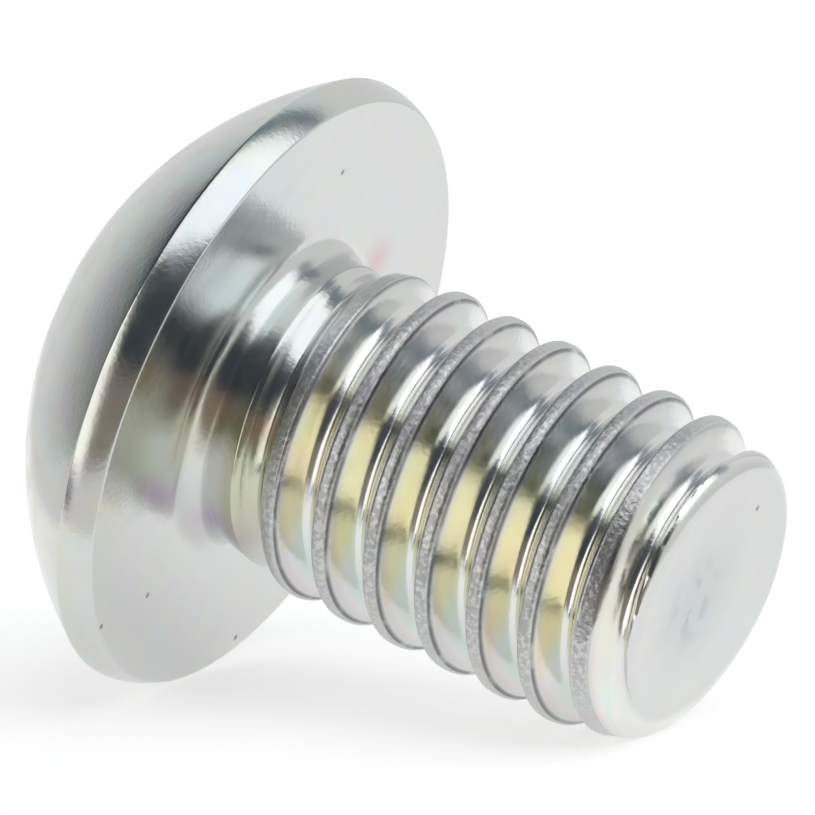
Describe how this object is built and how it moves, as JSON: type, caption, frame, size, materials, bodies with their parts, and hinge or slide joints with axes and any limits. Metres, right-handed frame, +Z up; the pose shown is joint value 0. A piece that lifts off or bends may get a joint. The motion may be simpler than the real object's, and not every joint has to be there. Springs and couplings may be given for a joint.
{
  "type": "button head screw",
  "caption": "Short machine screw with a low domed button head, a hexagon socket, a plain neck and a coarse right-hand thread, in zinc plated steel, lying on its side.",
  "frame": {"origin": "on the ground, below the middle of the lying screw's bounding box", "axes": "the screw lies on its side: +X runs along its length towards the tip, with the axis dipping by 18.02 degrees; +Y is across the head; +Z is up"},
  "size_m": [0.0086, 0.0074, 0.0071],
  "materials": {
    "zinc_plated_steel": "bright blue-passivated zinc plating, polished, with a faint iridescence"
  },
  "bodies": {
    "root": {"screw": "zinc_plated_steel"}
  },
  "joints": []
}
